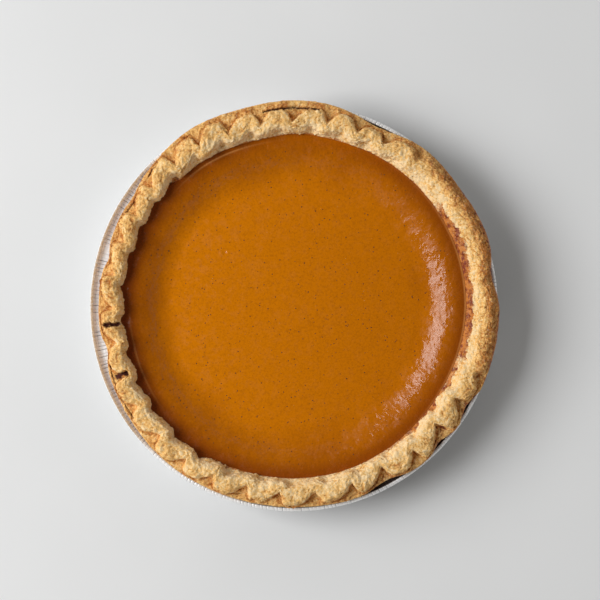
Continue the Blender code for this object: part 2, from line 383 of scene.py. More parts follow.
class FinishBench(NodeBench):
    """A bench that makes one material, whose Principled shader takes the finish."""

    def __init__(self, name: str) -> None:
        """Start a material.

        Args:
            name: the material's name.
        """
        self.material = bpy.data.materials.new(name)
        self.material.use_nodes = True
        super().__init__(self.material.node_tree)
        self.shader = self.tree.nodes["Principled BSDF"]
        self.place = self.add("ShaderNodeTexCoord").outputs["Object"]

    def give(self, name: str, value: object) -> None:
        """Give the shader's socket of this name a value."""
        self.plug(self.shader.inputs[name], value)

    def mark(self, name: str) -> Socket:
        """Return the number that a mesh keeps on its vertices under this name."""
        return self.add("ShaderNodeAttribute", attribute_name=name).outputs["Fac"]

    def noise(self, grain: Grain) -> Socket:
        """Return noise of this grain through the piece, from 0 to 1."""
        sockets = {"Scale": 1 / grain.size, "Detail": grain.detail, "Roughness": grain.rough}
        return self.add("ShaderNodeTexNoise", {"Vector": self.place, **sockets}).outputs[0]

    def patches(self, patches: Patches) -> Socket:
        """Return the patches' noise, spread over their span."""
        return self.spread(self.noise(patches), patches.low, patches.high, patches.span)

    def tint(self, share: object, a: object, b: object) -> Socket:
        """Return colour a at share 0 and colour b at share 1."""
        a, b = ((*colour, 1.0) if isinstance(colour, tuple) else colour for colour in (a, b))
        return self.add("ShaderNodeMix", {0: share, 6: a, 7: b}, data_type="RGBA").outputs[2]

    def relief(self, *layers: tuple[object, float]) -> None:
        """Stack fine relief on the shader.

        Args:
            layers: heights from 0 to 1, each with its depth.
        """
        normal = {}
        for height, depth in layers:
            bumps = self.add("ShaderNodeBump", {"Height": height, "Distance": depth, **normal})
            normal = {"Normal": bumps.outputs["Normal"]}
        self.give("Normal", normal["Normal"])


@dataclass(frozen=True)
class Finish:
    """A procedural material: the part of its making that all finishes share."""

    name: str

    def material(self) -> bpy.types.Material:
        """Return the finished material."""
        bench = FinishBench(self.name)
        self.dress(bench)
        return bench.material

    def dress(self, bench: FinishBench) -> None:
        """Lay the finish's own nodes on its material's bench."""
        raise NotImplementedError


@dataclass(frozen=True)
class PlainFinish(Finish):
    """A finish that drifts between two colours, with one roughness."""

    colour: Colour = (0.5, 0.5, 0.5)
    drifts_to: Colour = (0.5, 0.5, 0.5)
    drift: Patches = Patches(4 * MM)
    roughness: float = 0.5

    def dress(self, bench: FinishBench) -> None:
        """Lay the colour's drift and the roughness."""
        bench.give("Base Color", bench.tint(bench.patches(self.drift), self.colour, self.drifts_to))
        bench.give("Roughness", self.roughness)


GROUND_SPICE = PlainFinish("ground_spice", (0.070, 0.015, 0.003), (0.19, 0.046, 0.005))
# the air bubbles are coloured paler than the custard, as painted highlights on them
PAINTED_BUBBLE_GLINTS = PlainFinish("painted_bubble_glints", (0.66, 0.26, 0.045), (0.74, 0.34, 0.09), Patches(3 * MM), 0.25)
PALE_FLOOR = PlainFinish("pale_floor", (0.80, 0.81, 0.815), (0.83, 0.84, 0.845), Patches(120 * MM), 0.6)


@dataclass(frozen=True)
class BakedPastry(Finish):
    """Dry pastry, cream in the folds and golden to brown where the oven reached it, with painted shade in its
    creases, hollows and tears.
    """

    name: str = "baked_pastry"
    cream: Colour = (0.97, 0.72, 0.40)
    golden: Colour = (0.94, 0.555, 0.172)
    toasted: Colour = (0.50, 0.175, 0.028)
    flour: Colour = (0.94, 0.82, 0.62)
    # tear: painted shade, a near-black colour for the shade inside the tears and slits
    tear: Colour = (0.075, 0.014, 0.008)
    caramel: Colour = (0.62, 0.22, 0.040)
    burnt: Colour = (0.22, 0.036, 0.010)
    blotches: Patches = Patches(5.5 * MM, 3.0, 0.6, span=(-0.24, 0.24))
    specks: Patches = Patches(1.1 * MM, 4.0, 0.8, span=(-0.52, 0.52))
    dust: Patches = Patches(0.8 * MM, 2.0, 0.6, 0.56, 0.74, (0.0, 0.38))
    burnt_spots: Patches = Patches(3.6 * MM, 3.0, 0.7, 0.44, 0.60)
    turns_golden: Span = (0.05, 0.5)
    turns_brown: Span = (0.5, 1.15)
    stain_specks: float = 0.7
    stain_blotches: float = 0.8
    turns_caramel: Span = (0.30, 0.80)
    roughness: Span = (0.82, 0.38)
    specular: float = 0.35
    crumb: Bumps = Bumps(0.9 * MM, 4.0, 0.65, 0.52 * MM)
    flake_size: float = 1.7 * MM
    flake_depth: float = 0.36 * MM

    def dress(self, bench: FinishBench) -> None:
        """Lay the pastry's nodes: the bake with its painted shade, the flour, the caramelised stain, the
        painted shade in the tears and the crumb.

        Args:
            bench: makes the material.
        """
        blotch = bench.patches(self.blotches)
        speck = bench.patches(self.specks)
        bake = bench.plus(bench.mark("toast_and_painted_shade"), blotch, speck)
        colour = bench.tint(bench.spread(bake, *self.turns_golden), self.cream, self.golden)
        colour = bench.tint(bench.spread(bake, *self.turns_brown), colour, self.toasted)
        colour = bench.tint(bench.patches(self.dust), colour, self.flour)
        ragged = bench.plus(bench.times(speck, self.stain_specks), bench.times(blotch, self.stain_blotches))
        stain = bench.spread(bench.plus(bench.mark("stain"), ragged), *self.turns_caramel)
        sticky = bench.tint(bench.patches(self.burnt_spots), self.caramel, self.burnt)
        colour = bench.tint(stain, colour, sticky)
        # painted shade: the tears and slits are coloured near black
        bench.give("Base Color", bench.tint(bench.mark("tear"), colour, self.tear))
        bench.give("Roughness", bench.spread(stain, 0.0, 1.0, self.roughness))
        bench.give("Specular IOR Level", self.specular)
        cells = {"Vector": bench.place, "Scale": 1 / self.flake_size}
        flake = bench.add("ShaderNodeTexVoronoi", cells).outputs["Distance"]
        bench.relief((flake, self.flake_depth), (bench.noise(self.crumb), self.crumb.depth))


@dataclass(frozen=True)
class SetCustard(Finish):
    """Baked pumpkin custard: an even orange brown, faintly mottled, with a slight gloss."""

    name: str = "set_custard"
    middle: Colour = (0.67, 0.200, 0.0004)
    edge: Colour = (0.40, 0.104, 0.0006)
    fleck: Colour = (0.20, 0.050, 0.003)
    film: Colour = (0.62, 0.26, 0.070)
    # browned: custard browned against the pastry, also painted shade where the pastry's shadow falls
    browned_and_painted_shade: Colour = (0.20, 0.038, 0.003)
    drift: Patches = Patches(30 * MM, span=(-0.06, 0.06))
    mottle: Patches = Patches(1.3 * MM, 3.0, 0.7, 0.46, 0.76, (0.0, 0.42))
    sheen: Patches = Patches(5 * MM, 3.0, 0.7, 0.45, 0.60, (0.13, 0.30))
    turns_edge: Span = (0.70, 0.93)
    # painted shade: the custard is darkened towards +X, the side away from the key light
    painted_far_side_shade: Spread = (-100 * MM, 100 * MM, (0.0, 0.5))
    refraction: float = 1.42
    rougher_outside: Spread = (0.66, 0.86, (0.25, 1.0))
    ripple: Bumps = Bumps(6.5 * MM, 3.0, depth=0.80 * MM)
    dapple: Bumps = Bumps(2.3 * MM, depth=0.16 * MM)
    skin: Bumps = Bumps(0.9 * MM, depth=0.04 * MM)

    def dress(self, bench: FinishBench) -> None:
        """Lay the custard's nodes: its colours from the middle outwards, painted shade on the side away from
        the key light and where the pastry's shadow falls, its gloss and its ripples.

        Args:
            bench: makes the material.
        """
        reach = bench.mark("reach")
        drifted = bench.plus(reach, bench.patches(self.drift))
        colour = bench.tint(bench.spread(drifted, *self.turns_edge), self.middle, self.edge)
        # painted shade, stronger towards +X, away from the key light
        across = bench.add("ShaderNodeSeparateXYZ", {0: bench.place}).outputs["X"]
        colour = bench.tint(bench.spread(across, *self.painted_far_side_shade), colour, self.edge)
        colour = bench.tint(bench.patches(self.mottle), colour, self.fleck)
        # real browning beside the pastry, with painted shade on the side of the pastry's shadow
        colour = bench.tint(bench.mark("browned_and_painted_shade"), colour, self.browned_and_painted_shade)
        bench.give("Base Color", bench.tint(bench.mark("film"), colour, self.film))
        bench.give("Roughness", bench.patches(self.sheen))
        bench.give("IOR", self.refraction)
        outside = bench.spread(reach, *self.rougher_outside)
        ripple = bench.times(bench.noise(self.ripple), outside)
        dapple = bench.times(bench.noise(self.dapple), outside)
        skin = bench.noise(self.skin)
        bench.relief((ripple, self.ripple.depth), (dapple, self.dapple.depth), (skin, self.skin.depth))


@dataclass(frozen=True)
class BrightFoil(Finish):
    """Thin aluminium foil, bright and faintly crumpled, with painted shade in its grooves, a painted reflection
    of the crust on one side of the bead, and a painted shadow of the crust on the flange.
    """

    name: str = "bright_foil"
    metal: Colour = (0.96, 0.96, 0.955)
    dull: Colour = (0.90, 0.90, 0.90)
    # crease: the colour of the painted shade in the foil's grooves
    crease: Colour = (0.12, 0.12, 0.13)
    # the colour of the painted reflection of the golden crust on the bead
    painted_reflection_colour: Colour = (0.44, 0.275, 0.135)
    # burnt: the near-black colour of the painted shadow of the crust on the flange
    burnt: Colour = (0.030, 0.016, 0.010)
    smears: Patches = Patches(14 * MM, 3.0, 0.6)
    hatch: Patches = Patches(0.9 * MM, 2.0, 0.7, 0.40, 0.56, (0.70, 1.0))
    painted_groove_shade: Spread = (0.3, 1.0, (0.0, 0.8))
    metallic: Spread = (0.35, 0.9, (0.80, 0.25))
    painted_reflection_metallic: float = 0.05
    roughness: Spread = (0.35, 1.0, (0.32, 0.50))
    smear_roughness: Span = (-0.04, 0.04)
    painted_reflection_roughness: float = 0.35
    crumple: Bumps = Bumps(7 * MM, depth=0.35 * MM)
    wrinkle: Bumps = Bumps(1.1 * MM, 2.0, 0.6, 0.10 * MM)

    def dress(self, bench: FinishBench) -> None:
        """Lay the foil's nodes: the metal, the painted shade in the grooves, the painted reflection of the
        crust, the painted shadow of the crust and the crumple.

        Args:
            bench: makes the material.
        """
        smear = bench.patches(self.smears)
        creasing = bench.mark("creasing")
        painted_reflection = bench.mark("painted_reflection")
        painted_shadow = bench.mark("painted_shadow")
        colour = bench.tint(smear, self.metal, self.dull)
        # painted shade: the grooves are darkened towards the crease colour
        colour = bench.tint(bench.spread(bench.mark("groove"), *self.painted_groove_shade), colour, self.crease)
        # painted reflection: the bead's top on the lit side takes the crust's tan colour
        colour = bench.tint(bench.times(painted_reflection, bench.patches(self.hatch)), colour, self.painted_reflection_colour)
        # painted shadow: the flange beside the crust is darkened where the crust's shadow falls
        bench.give("Base Color", bench.tint(painted_shadow, colour, self.burnt))
        metallic = bench.spread(creasing, *self.metallic)
        metallic = bench.times(metallic, bench.spread(painted_reflection, 0.0, 1.0, (1.0, self.painted_reflection_metallic)))
        bench.give("Metallic", bench.times(metallic, bench.spread(painted_shadow, 0.0, 1.0, (1.0, 0.0))))
        rough = bench.spread(creasing, *self.roughness)
        rough = bench.plus(rough, bench.spread(smear, 0.0, 1.0, self.smear_roughness))
        bench.give("Roughness", bench.plus(rough, bench.times(painted_reflection, self.painted_reflection_roughness)))
        crumple = bench.noise(self.crumple)
        bench.relief((crumple, self.crumple.depth), (bench.noise(self.wrinkle), self.wrinkle.depth))


@dataclass(frozen=True)
class RimForm:
    """The crimped rim's form, which is the form of the pastry case's solid.

    The rim isn't concentric with the tin: each edge has its own shift towards +X and +Y. Across the rim, 0 is
    the outer edge and 1 the crimps' inner ends. The crimps are counted round the rim, and a whole count is a
    pocket. The sections' points are shares across the rim with heights in mm, and so are lip, contact and
    rolled. A stretch's height is in degrees in drifts, a share in even_crimps, and in mm in the others.
    """

    outer_radius: float = 113.3 * MM
    outer_shift: Span = (2.4 * MM, 1.3 * MM)
    inner_radius: float = 95.7 * MM
    inner_shift: Span = (1.3 * MM, 0.4 * MM)
    lip_underside: float = 30.3 * MM
    lip_over_bead: float = 31.1 * MM
    bead_ramp: Span = (110.9 * MM, 2.0 * MM)
    fill_contact: float = 31.0 * MM
    crimps: int = 35
    first_pocket: float = 48.9
    drifts: Stretches = ((52.0, 20.0, 1.6), (165.0, 38.0, -2.9), (316.0, 42.0, 4.1))
    uneven_spacing: float = 0.25
    spacing_waves: tuple[int, int] = (8, 13)
    uneven_height: float = 0.10
    height_waves: tuple[int, int] = (13, 4)
    skew: float = 0.29
    even_crimps: Stretches = ((66.0, 24.0, 0.22),)
    shallow_dimples: Stretches = ((286.0, 36.0, 2.6), (45.0, 22.0, 2.2), (105.0, 28.0, 0.8))
    slant: float = 0.8
    slant_pivot: float = 0.45
    wide_lip: Stretches = ((94.0, 28.0, 0.17),)
    wide_lip_ramp: Span = (0.0, 0.2)
    flat_middle: float = 14.0
    flat_half_width: float = 34.0
    flat_ease: Span = (1.9, 1.35)
    flattest: float = 0.9
    edge_dents: Stretches = (
        (64.5, 9.0, 3.8), (91.0, 14.0, -1.8), (120.0, 14.0, -2.9), (145.5, 3.0, 1.2), (157.0, 14.0, 0.5),
        (163.0, 36.0, 1.3), (165.0, 3.0, 2.0), (193.0, 4.0, 2.6), (233.0, 25.0, -1.8), (298.0, 5.5, 3.0),
        (317.5, 3.5, 2.9), (330.0, 4.5, 3.0), (9.0, 5.5, 3.4), (36.0, 9.0, 1.1),
    )
    well_waves: Stretches = ((88.0, 7.0, -1.2), (122.0, 14.0, -0.8), (235.0, 28.0, -1.3), (324.0, 27.0, 2.2))
    outer_foot: Span = (0.08, 0.49)
    inner_foot: Span = (0.81, 0.965)
    sharpness: Span = (3.0, 2.2)
    pointed: float = 0.4
    foot_uneven: float = 0.04
    foot_waves: tuple[int, int] = (11, 19)
    crest_height: float = 40.3
    ridge_profile: tuple[Span, ...] = ((1.0, 0.0), (0.88, 0.50), (0.58, 0.90), (0.0, 1.0))
    lip: Span = (0.03, 33.4)
    pocket_floor: float = 34.2
    dimple_floor: float = 33.0
    dimple_end: Span = (0.6, 0.4)
    contact: Span = (0.975, 31.0)
    rolled: tuple[Span, ...] = (
        (0.03, 34.2), (0.06, 35.4), (0.10, 36.6), (0.17, 38.0), (0.25, 38.8), (0.34, 39.1),
        (0.46, 38.8), (0.60, 37.8), (0.74, 36.4), (0.88, 34.4), (0.985, 31.0),
    )

    def pocket_angle(self, phase: Array) -> Array:
        """Space the crimps unevenly round the rim.

        Args:
            phase: crimp counts.

        Returns:
            The angles at which the count reaches them.
        """
        even = self.first_pocket + phase * 360.0 / self.crimps
        uneven = sum(np.sin(np.radians(waves * even)) for waves in self.spacing_waves)
        return even + along_rim(self.drifts, even) + self.uneven_spacing * uneven

    @staticmethod
    def edge(angle: Array, radius: float, shift: Span, waves: Stretches) -> Array:
        """Return the radius about the tin's axis of a shifted circle, pressed in where waves are above 0."""
        turn = np.radians(angle)
        return radius + shift[0] * np.cos(turn) + shift[1] * np.sin(turn) - along_rim(waves, angle) * MM

    def radius(self, angle: Array, across: Array) -> Array:
        """Return the radius about the tin's axis of a place across the rim."""
        outer = self.edge(angle, self.outer_radius, self.outer_shift, self.edge_dents)
        return mix(outer, self.edge(angle, self.inner_radius, self.inner_shift, self.well_waves), across)

    def underside(self, angle: Array) -> Array:
        """Return the height of the lip's underside, on the flange or over the bead."""
        return mix(self.lip_underside, self.lip_over_bead, rises(self.radius(angle, 0.0), *self.bead_ramp))

    def rolled_share(self, angle: Array) -> Array:
        """Return how far the crimps have slumped into a plain roll."""
        away = np.abs(turn_between(angle, self.flat_middle)) / self.flat_half_width
        return self.flattest * smoothstep(self.flat_ease[0] - away * self.flat_ease[1])

    def ridge_feet(self, phase: Array) -> tuple[Array, Array]:
        """Find the ridge's feet, which follow an uneven zigzag with narrow notches.

        Args:
            phase: the crimp count at each section.

        Returns:
            Where across the rim each section has its outer and its inner foot.
        """
        share = phase % 1.0
        skew = self.skew + along_rim(self.even_crimps, self.pocket_angle(phase))
        turn = np.where(share < skew, share / skew, 1 + (share - skew) / (1 - skew))
        wave = 0.5 + 0.5 * np.cos(np.pi * turn)
        round_rim = 2 * np.pi * phase / self.crimps
        coarse, fine = self.foot_waves
        drift = self.foot_uneven * (np.sin(coarse * round_rim) + np.sin(fine * round_rim + 1.0)) / 2
        inward = mix(wave, np.abs(1 - turn), self.pointed)
        outer = mix(*self.outer_foot, inward**self.sharpness[0]) + drift
        inner = mix(*self.inner_foot, 1 - (1 - inward) ** self.sharpness[1]) + drift
        return outer, np.minimum(inner, self.inner_foot[1])

    def crimp_section(self, phase: Array, dimple: Array) -> Array:
        """Draw the crimps' sections, with the ridge's crest at the middle point of each.

        Args:
            phase: the crimp count at each section.
            dimple: the height of each section's dimple, inside the ridge, in mm.

        Returns:
            An array of stations, sections, and the share across the rim and the height in mm.
        """
        outer, inner = self.ridge_feet(phase)
        crest = (outer + inner) / 2
        sunk = np.minimum(dimple - self.dimple_floor, 0.0)
        stations = [self.lip, (mix(self.lip[0], outer, 0.5), self.pocket_floor)]
        for share, rise in self.ridge_profile:
            stations.append((mix(crest, outer, share), mix(self.pocket_floor, self.crest_height, rise)))
        for share, rise in self.ridge_profile[-2::-1]:
            stations.append((mix(crest, inner, share), mix(dimple, self.crest_height, rise)))
        end, fall = self.dimple_end
        stations.append((mix(inner, self.contact[0], end), mix(dimple, self.contact[1], fall)))
        stations.append((self.contact[0], self.contact[1] + 0.5 * sunk))
        spread = [np.broadcast_arrays(*station, crest)[:2] for station in stations]
        return np.stack([np.stack(station, axis=-1) for station in spread])

    def well_radius(self, angle: Array) -> Array:
        """Return the well's radius where the custard meets the pastry."""
        return self.radius(angle, mix(self.contact[0], self.rolled[-1][0], self.rolled_share(angle)))


@dataclass(frozen=True)
class CrossTear:
    """An open tear across the rim: its angle, the radii of its ends, its width and its floor's height."""

    angle: float
    inner: float
    outer: float
    width: float
    floor: float


@dataclass(frozen=True)
class LipTear:
    """A thin tear along the lip: its end angles, its place across the rim, its half width and its depth."""

    start: float
    end: float
    place: float
    half_width: float = 0.020
    depth: float = 0.7


@dataclass(frozen=True)
class Tears:
    """The rim's tears, with ragged edges."""

    across: tuple[CrossTear, ...] = (
        CrossTear(185.4, 96.6 * MM, 108.6 * MM, 2.2 * MM, 33.6 * MM),
        CrossTear(201.4, 98.5 * MM, 108.4 * MM, 3.0 * MM, 33.9 * MM),
    )
    along: tuple[LipTear, ...] = (
        LipTear(82.0, 99.5, 0.235, 0.026, 1.0), LipTear(197.0, 204.0, 0.10), LipTear(209.0, 215.0, 0.12),
        LipTear(134.0, 138.5, 0.14), LipTear(146.0, 151.0, 0.16),
    )
    ragged: float = 1.5 * MM
    ragged_grain: float = 2.4 * MM
    end_taper: float = 1.5 * MM
    side_ease: float = 0.5 * MM
    end_width: float = 0.3
    wander: float = 0.018
    wander_grain: float = 3.0 * MM
    slit_taper: float = 1.5
    slit_end_width: float = 0.4
    slit_ramp: Span = (1.4, 1.0)

    def open_mask(self, points: Array, noise: GradientNoise) -> tuple[Array, Array]:
        """Find the tears across the rim.

        Args:
            points: the rim's points.
            noise: roughens the tears' edges.

        Returns:
            For each point, how far it is inside a tear, from 0 to 1, and that tear's floor height.
        """
        mask = np.zeros(points.shape[:-1])
        floor = np.full(points.shape[:-1], 1.0)
        rough = self.ragged * noise.fractal(points, self.ragged_grain)
        for tear in self.across:
            turn = math.radians(tear.angle)
            out = points[..., 0] * math.cos(turn) + points[..., 1] * math.sin(turn)
            side = points[..., 1] * math.cos(turn) - points[..., 0] * math.sin(turn) + rough
            ends = between(out, tear.inner, tear.outer, self.end_taper)
            half_width = tear.width / 2 * mix(self.end_width, 1.0, ends)
            inside = smoothstep((half_width - np.abs(side)) / self.side_ease + 0.5) * ends
            floor = np.where(inside > mask, tear.floor, floor)
            mask = np.maximum(mask, inside)
        return mask, floor

    def slit_mask(self, across: Array, angle: Array, points: Array, noise: GradientNoise) -> Array:
        """Find the thin tears that run along the lip.

        Args:
            across: each point's place across the rim.
            angle: each point's angle.
            points: the rim's points.
            noise: makes the tears' lines wander.

        Returns:
            How far each point is inside a tear, from 0 to 1.
        """
        wander = self.wander * noise.at(points, self.wander_grain)
        mask = np.zeros(across.shape)
        for tear in self.along:
            ends = between(angle, tear.start, tear.end, self.slit_taper)
            half_width = tear.half_width * mix(self.slit_end_width, 1.0, ends)
            inside = falls(np.abs(across - tear.place + wander) / half_width, *self.slit_ramp)
            mask = np.maximum(mask, tear.depth * inside * np.minimum(1, ends * 3))
        return mask


@dataclass(frozen=True)
class Browning:
    """How brown the pastry is, from 0 for cream to 1 for brown, with painted shade in its creases, wrinkles and
    hollows and partly in its pockets, and where custard has stained it.
    """

    plain: float = 0.34
    lip: float = 0.07
    lip_ramp: Span = (0.24, 0.16)
    # outside: browner outside the ridge, partly real browning and partly painted shade in the pockets
    outside: float = 0.17
    outside_ramp: Span = (-0.85, 0.3)
    inside: float = 0.28
    inside_ramp: Span = (-0.1, 0.9)
    # crease: painted shade, a dark line where the ridge's outer foot meets the pocket
    crease: float = 0.30
    painted_crease_shade_line: Span = (-1.05, 0.16)
    browner_side: Stretches = ((168.0, 45.0, 0.20),)
    roll_inside: float = 0.12
    roll_outside: float = 0.94
    roll_ramp: Span = (0.73, 0.48)
    lumps: float = 0.22
    # wrinkles and hollows: painted shade that darkens the sunk wrinkles and the creases between puffs
    wrinkles: float = 0.60
    painted_hollow_shade: float = 0.50
    stained_side: Side = (9.0, 31.0, 9.0)
    side_ramp: Span = (36.4 * MM, 1.6 * MM)
    foot: float = 0.8
    foot_ramp: Span = (32.2 * MM, 0.8 * MM)
    high_foot: Stretches = ((327.0, 30.0, 0.95),)
    high_foot_ramp: Span = (34.2 * MM, 1.0 * MM)

    def toast_and_painted_shade(self, across: Array, away: Array, angle: Array, rolled: Array) -> Array:
        """Work out how brown the smooth rim is, with painted shade along the crease at the ridge's outer foot
        and partly in the pockets.

        Args:
            across: each point's place across the rim.
            away: its place on the ridge, from -1 at the outer foot to 1 at the inner foot.
            angle: its angle.
            rolled: how far the crimps have slumped there.

        Returns:
            0 for cream pastry to 1 for brown, one for each point.
        """
        crimped = self.plain + self.outside * falls(away, *self.outside_ramp)
        crimped = crimped + self.lip * falls(across, *self.lip_ramp)
        crimped = crimped - self.inside * rises(away, *self.inside_ramp)
        crimped = crimped + self.crease * thin_line(away, *self.painted_crease_shade_line)
        roll = self.roll_inside + self.roll_outside * falls(across, *self.roll_ramp)
        return mix(crimped + along_rim(self.browner_side, angle), roll, rolled)

    def stain(self, angle: Array, height: Array) -> Array:
        """Find where custard has caramelised on the rim's inner wall and at its foot.

        Args:
            angle: each point's angle.
            height: its height.

        Returns:
            0 for clean pastry to 1 for stained, one for each point.
        """
        side = one_side(angle, *self.stained_side) * falls(height, *self.side_ramp)
        foot = self.foot * falls(height, *self.foot_ramp)
        high_foot = along_rim(self.high_foot, angle) * falls(height, *self.high_foot_ramp)
        return np.max([side, foot, high_foot], axis=0)


@dataclass
class PastryCase:
    """The pastry case: a shell that lines the tin, with a crimped, cracked and browned rim."""

    rim: RimForm = RimForm()
    tears: Tears = Tears()
    browning: Browning = Browning()
    columns: int = 1120
    steps: int = 6
    seed: int = 11
    base_radius: float = 87.1 * MM
    bottom: float = 0.7 * MM
    mouth: Span = (102.6 * MM, 28.6 * MM)
    shoulder: float = 103.4 * MM
    lip_section: tuple[Span, ...] = (
        (0.12, 0.0), (0.05, 0.3 * MM), (0.02, 0.8 * MM), (0.0, 1.5 * MM), (0.005, 2.3 * MM),
    )
    lip_follows: float = 0.8
    sunk_side: Side = (190.0, 64.0, 12.0)
    sunk_dimples: float = 2.2
    well_bend: Span = (0.6 * MM, 28.0 * MM)
    well_floor: Span = (83.0 * MM, 3.8 * MM)
    lump_height: float = 1.2 * MM
    lump_size: float = 6.5 * MM
    puff_height: float = 1.15 * MM
    puff_size: float = 2.9 * MM
    crumb_height: float = 0.6 * MM
    crumb_size: float = 1.25 * MM
    grain_height: float = 0.5 * MM
    grain_size: float = 1.5 * MM
    grain_radius: float = 31.0 * MM
    grain_reach: float = 5 * MM
    wrinkle_depth: float = 0.45 * MM
    wrinkle_size: float = 4.2 * MM
    wrinkle_width: float = 0.075
    wrinkle_wander: Span = (0.9 * MM, 2.2 * MM)
    wrinkled_size: float = 7.0 * MM
    wrinkled_ramp: Span = (-0.1375, 0.25)
    slit_depth: float = 2.2 * MM
    relief_fades: Span = (4.0, 5.0)

    def section_grid(self) -> tuple[Array, Array, Array, Array]:
        """Lay the smooth rim.

        Returns:
            The rim's points as rings by columns, and for each point its place across the rim, its angle, and
            its place on the ridge, from -1 at the outer foot to 1 at the inner foot.
        """
        rim = self.rim
        phase = (np.arange(self.columns) * rim.crimps / self.columns)[None, :]
        angle = rim.pocket_angle(phase)
        dimple = rim.dimple_floor + along_rim(rim.shallow_dimples, angle[0])
        dimple = dimple - self.sunk_dimples * one_side(angle[0], *self.sunk_side)
        crimps = rim.crimp_section(phase[0], dimple)
        rolled = np.array(rim.rolled)[:, None, :]
        section = smooth_line(mix(crimps, rolled, rim.rolled_share(angle)[0][:, None]), self.steps)
        outer, inner = rim.ridge_feet(phase)
        on_ridge = (2 * section[..., 0] - outer - inner) / (inner - outer)
        place = np.linspace(0, 1, len(section))[:, None]
        widened = along_rim(rim.wide_lip, angle) * rises(place, *rim.wide_lip_ramp)
        across = mix(section[..., 0], 1.0, widened)
        waves = np.prod([np.sin(np.radians(waves * angle)) for waves in rim.height_waves], axis=0)
        stretch = 1 + rim.uneven_height * waves
        height = rim.fill_contact + (section[..., 1] * MM - rim.fill_contact) * stretch
        lift = rim.underside(angle) - rim.lip_underside
        height = height + lift * self.lip_follows * (1 - across) ** 2
        twisted = angle + rim.slant * (across - rim.slant_pivot)
        return at(twisted, rim.radius(twisted, across), height), across, twisted, on_ridge

    def lower_rings(self, angle: Array) -> Array:
        """Lay the rings under the rim: the floor's edge, the wall, and the lip's underside and outer face.

        Args:
            angle: the columns' angles.

        Returns:
            The rings' points, as rings by columns.
        """
        under = self.rim.underside(angle)
        wall = [
            at(angle, self.base_radius, self.bottom),
            at(angle, *self.mouth),
            at(angle, self.shoulder, self.rim.lip_underside),
        ]
        lip = [at(angle, self.rim.radius(angle, across), under + rise) for across, rise in self.lip_section]
        return np.array(wall + lip)

    def wrinkles(self, rings: Array, noise: GradientNoise) -> Array:
        """Find where thin wrinkles run over the crust, in patches.

        Args:
            rings: the rim's points.
            noise: draws the wrinkles; a shift picks another stretch of it.

        Returns:
            0 for smooth crust to 1 in a wrinkle, one for each point.
        """
        wander, size = self.wrinkle_wander
        warped = rings + wander * noise.at(rings + 0.2, size)[..., None]
        wrinkle = 1 - smoothstep(np.abs(noise.at(warped, self.wrinkle_size)) / self.wrinkle_width)
        return wrinkle * rises(noise.at(rings + 0.4, self.wrinkled_size), *self.wrinkled_ramp)

    def build(self, finish: Finish) -> Piece:
        """Build the case.

        Args:
            finish: dresses it.

        Returns:
            The finished piece.
        """
        # the smooth case, without its well
        noise = GradientNoise(self.seed)
        top, across, angle, on_ridge = self.section_grid()
        plain = self.rim.pocket_angle(np.arange(self.columns) * self.rim.crimps / self.columns)
        lower = self.lower_rings(plain)
        rings = np.concatenate([lower, top])
        across = np.concatenate([np.zeros(lower.shape[:2]), across])
        angle = np.concatenate([np.broadcast_to(plain, lower.shape[:2]), angle])
        on_ridge = np.concatenate([np.full(lower.shape[:2], -1.5), on_ridge])
        # its relief, which fades out at the lip's underside and at the custard
        rank = np.arange(len(rings))[:, None]
        below, above = self.relief_fades
        skin = rises(rank, len(lower) - 3, below) * falls(rank, len(rings) - 1, above)
        lumps = noise.fractal(rings, self.lump_size)
        puffs = noise.puffs(rings, self.puff_size)
        crumbs = noise.puffs(rings + 0.05, self.crumb_size)
        grain = noise.puffs(at(angle, self.grain_radius, on_ridge * self.grain_reach), self.grain_size)
        wrinkles = self.wrinkles(rings, noise)
        rise = self.lump_height * lumps + self.puff_height * puffs + self.crumb_height * crumbs
        rise = rise - self.wrinkle_depth * wrinkles + self.grain_height * grain
        # its tears
        tear, floor = self.tears.open_mask(rings, noise)
        slit = self.tears.slit_mask(across, angle, rings, noise)
        rings = rings + outward_normals(rings) * (rise * skin)[..., None]
        rings[..., 2] -= tear * skin * np.maximum(rings[..., 2] - floor, 0.0) + slit * skin * self.slit_depth
        rings = np.clip(rings, *(np.array(corner) for corner in CAD_BOX))
        # the whole skin and its marks
        bend = at(plain, self.rim.well_radius(plain) - self.well_bend[0], self.well_bend[1])
        whole = np.concatenate([rings, [bend, at(plain, *self.well_floor)]])
        mesh = grid_mesh("pastry_case_skin", whole, self.bottom, self.well_floor[1])
        # real browning, with painted shade added in the sunk wrinkles and in the hollows between puffs
        toast_and_painted_shade = self.browning.toast_and_painted_shade(across, on_ridge, angle, self.rim.rolled_share(angle))
        toast_and_painted_shade = toast_and_painted_shade + self.browning.lumps * lumps + self.browning.wrinkles * wrinkles
        store(mesh, "toast_and_painted_shade", toast_and_painted_shade - self.browning.painted_hollow_shade * puffs)
        # marks the tears and slits, where the material paints shade
        store(mesh, "tear", np.clip(np.maximum(tear, slit), 0, 1))
        store(mesh, "stain", self.browning.stain(angle, rings[..., 2]))
        mesh.materials.append(finish.material())
        piece = show("pastry_case_baked", mesh)
        hand_over(piece, "pastry", "pastry_case")
        return piece


@dataclass(frozen=True)
class FilmLine:
    """A thin pale line in the custard's skin, whose place and thickness are shares of the way to the pastry."""

    angle: float
    half_width: float
    strength: float
    share: float
    thickness: float


